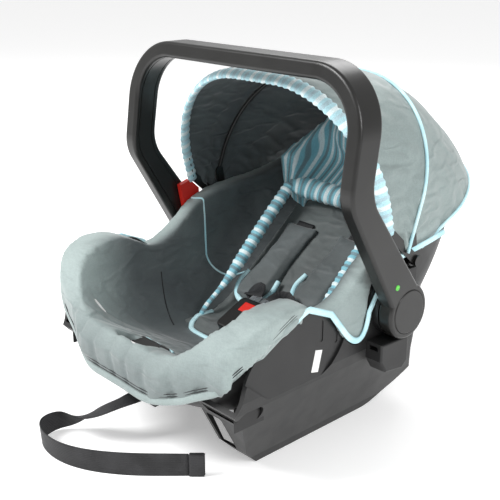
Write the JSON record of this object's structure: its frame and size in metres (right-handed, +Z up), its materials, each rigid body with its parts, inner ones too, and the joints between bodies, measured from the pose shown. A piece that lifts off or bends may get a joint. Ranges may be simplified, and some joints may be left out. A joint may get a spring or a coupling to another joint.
{
  "type": "infant carrier car seat",
  "caption": "Padded infant carrier seat on rocker rails with a swinging carry handle, folding canopy, harness pads and a loose adjuster strap.",
  "frame": {"origin": "on the floor, at the middle of the seat's own box", "axes": "+X across the seat, +Y towards the head end, +Z up"},
  "size_m": [0.464, 0.6843, 0.521],
  "materials": {
    "shell_plastic": "fine satin grain, moulded",
    "handle_plastic": "smooth satin, moulded",
    "cover_fabric": "fine woven polyester, soft sheen",
    "canopy_fabric": "woven polyester, soft sheen",
    "striped_fabric": "knitted stripes, matte",
    "webbing": "woven ribs, matte",
    "foam": "beaded foam, matte",
    "red_plastic": "smooth, slightly glossy",
    "indicator_green": "glossy",
    "steel": "plated",
    "label_film": "plain white film"
  },
  "bodies": {
    "carrier": {"seat_shell": "shell_plastic", "foam_liner": "foam", "seat_cover": "cover_fabric", "body_insert": "cover_fabric", "head_hugger": "striped_fabric", "buckle_body": "shell_plastic", "crotch_strap": "webbing", "adjuster_housing": "shell_plastic", "strap_guide": "shell_plastic", "adjuster_strap": "webbing", "strap_end": "webbing", "rating_label": "label_film", "canopy_rear_panel": "canopy_fabric", "rocker_rail_left": "shell_plastic", "hub_base_left": "shell_plastic", "pivot_screw_left": "steel", "lap_belt_hook_left": "shell_plastic", "belt_guide_left": "red_plastic", "canopy_knob_left": "shell_plastic", "shoulder_pad_left": "cover_fabric", "shoulder_strap_left": "webbing", "buckle_tongue_left": "steel", "rocker_rail_right": "shell_plastic", "hub_base_right": "shell_plastic", "pivot_screw_right": "steel", "lap_belt_hook_right": "shell_plastic", "belt_guide_right": "red_plastic", "canopy_knob_right": "shell_plastic", "shoulder_pad_right": "cover_fabric", "shoulder_strap_right": "webbing", "buckle_tongue_right": "steel"},
    "handle": {"handle_outer_shell": "handle_plastic", "handle_inner_shell": "handle_plastic", "lock_indicator_left": "indicator_green", "lock_indicator_right": "indicator_green"},
    "handle_button_left": {"hub_button_left": "handle_plastic", "lock_gear_left": "handle_plastic"},
    "handle_button_right": {"hub_button_right": "handle_plastic", "lock_gear_right": "handle_plastic"},
    "canopy_middle": {"canopy_middle_bow": "shell_plastic"},
    "canopy_front": {"canopy_front_bow": "shell_plastic", "canopy_front_panel": "canopy_fabric"},
    "buckle_press": {"buckle_button": "red_plastic"},
    "adjuster_press": {"adjuster_button": "shell_plastic"}
  },
  "joints": [
    {"name": "handle_swing", "type": "hinge", "parent": "carrier", "child": "handle", "pos_m": [0, 0.015, 0.186], "axis": [1, 0, 0], "range_deg": [-115, 35]},
    {"name": "handle_button_left_press", "type": "slide", "parent": "handle", "child": "handle_button_left", "axis": [1, 0, 0], "range_m": [0, 0.004], "stiffness_N_per_m": 800},
    {"name": "handle_button_right_press", "type": "slide", "parent": "handle", "child": "handle_button_right", "axis": [-1, 0, 0], "range_m": [0, 0.004], "stiffness_N_per_m": 800},
    {"name": "canopy_middle_fold", "type": "hinge", "parent": "carrier", "child": "canopy_middle", "pos_m": [0, 0.063, 0.24], "axis": [-1, 0, 0], "range_deg": [0, 38], "deforming": ["canopy_rear_panel"]},
    {"name": "canopy_front_fold", "type": "hinge", "parent": "canopy_middle", "child": "canopy_front", "pos_m": [0, 0.063, 0.24], "axis": [-1, 0, 0], "range_deg": [0, 24], "deforming": ["canopy_front_panel"]},
    {"name": "buckle_button_press", "type": "slide", "parent": "carrier", "child": "buckle_press", "axis": [0, 0.4191, -0.908], "range_m": [0, 0.0025], "stiffness_N_per_m": 800},
    {"name": "adjuster_button_press", "type": "slide", "parent": "carrier", "child": "adjuster_press", "axis": [0, 0, -1], "range_m": [0, 0.004], "stiffness_N_per_m": 800}
  ]
}
